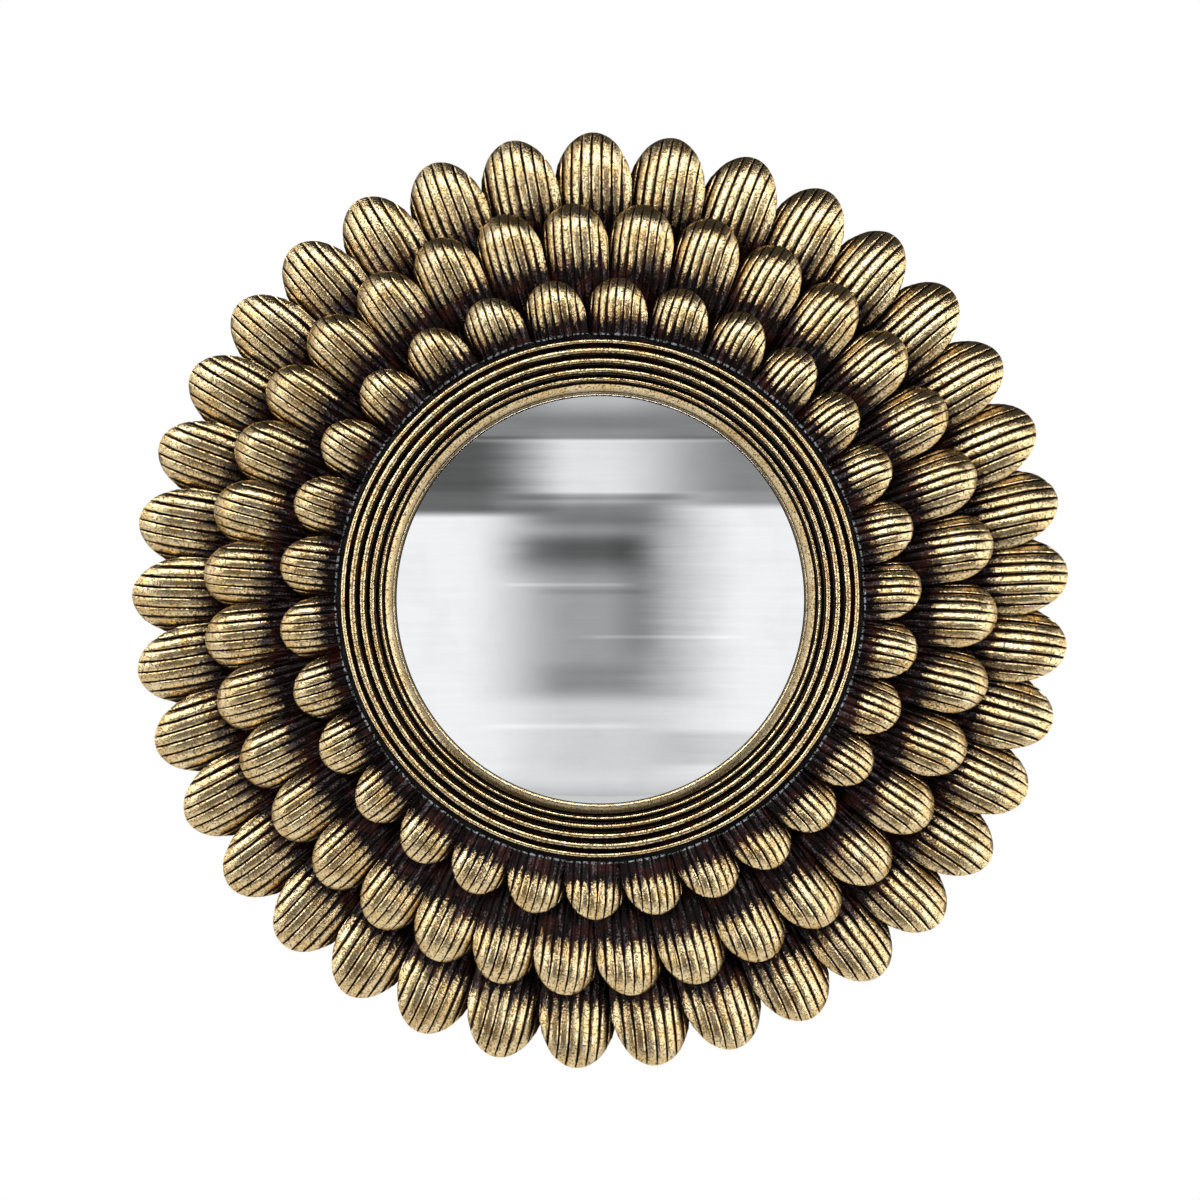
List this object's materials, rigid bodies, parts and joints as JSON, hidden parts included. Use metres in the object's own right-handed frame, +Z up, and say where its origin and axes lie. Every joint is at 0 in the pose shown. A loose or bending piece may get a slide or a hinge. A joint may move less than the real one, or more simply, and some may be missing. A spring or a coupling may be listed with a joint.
{
  "type": "convex butlers mirror",
  "caption": "Round convex wall mirror in a gilt frame of overlapping fluted petal rows around a reeded ring, with a closed back, turn buttons and a hanging ring.",
  "frame": {"origin": "centre of the wall plane: the point of the felt back's plane on the mirror's axis", "axes": "+Z up as it hangs, +Y into the wall, so the glass faces -Y; +X is to the right seen from the front"},
  "size_m": [0.3397, 0.0337, 0.3398],
  "materials": {
    "antique_gilt": "cast resin, gilded and rubbed back over near-black umber patina, satin",
    "core_wood": "black-brown painted wood",
    "black_felt": "matt felt",
    "back_board": "raw hardboard",
    "black_rubber": "matt",
    "packing_cork": "pressed cork",
    "mirror_glass": "silvered glass, polished",
    "zinc_steel": "zinc-plated steel, satin",
    "button_brass": "stamped brass, satin"
  },
  "bodies": {
    "mirror_frame": {"outer_petals": "antique_gilt", "middle_petals": "antique_gilt", "inner_petals": "antique_gilt", "reeded_ring": "antique_gilt", "glass_slip": "antique_gilt", "base_ring": "core_wood", "middle_ring": "core_wood", "top_ring": "core_wood", "back_felt": "black_felt", "back_board": "back_board", "glass_gasket": "black_rubber", "packing_ring": "packing_cork", "mirror_glass": "mirror_glass", "button_screws": "zinc_steel", "button_washers": "zinc_steel", "hanger_strap": "zinc_steel", "hanger_screw": "zinc_steel"},
    "hanger_ring_body": {"hanger_ring": "zinc_steel"},
    "turn_button_1_body": {"turn_button_1": "button_brass"},
    "turn_button_2_body": {"turn_button_2": "button_brass"},
    "turn_button_3_body": {"turn_button_3": "button_brass"},
    "turn_button_4_body": {"turn_button_4": "button_brass"}
  },
  "joints": [
    {"name": "hanger_ring_swing", "type": "hinge", "parent": "mirror_frame", "child": "hanger_ring_body", "pos_m": [0, -0.004, 0.123], "axis": [1, 0, 0], "range_deg": [0, 180]},
    {"name": "turn_button_1_turn", "type": "hinge", "parent": "mirror_frame", "child": "turn_button_1_body", "pos_m": [0.06435, -0.0031, 0.06435], "axis": [0, 1, 0], "range_deg": [-100, 100]},
    {"name": "turn_button_2_turn", "type": "hinge", "parent": "mirror_frame", "child": "turn_button_2_body", "pos_m": [0.06435, -0.0031, -0.06435], "axis": [0, 1, 0], "range_deg": [-100, 100]},
    {"name": "turn_button_3_turn", "type": "hinge", "parent": "mirror_frame", "child": "turn_button_3_body", "pos_m": [-0.06435, -0.0031, -0.06435], "axis": [0, 1, 0], "range_deg": [-100, 100]},
    {"name": "turn_button_4_turn", "type": "hinge", "parent": "mirror_frame", "child": "turn_button_4_body", "pos_m": [-0.06435, -0.0031, 0.06435], "axis": [0, 1, 0], "range_deg": [-100, 100]}
  ]
}
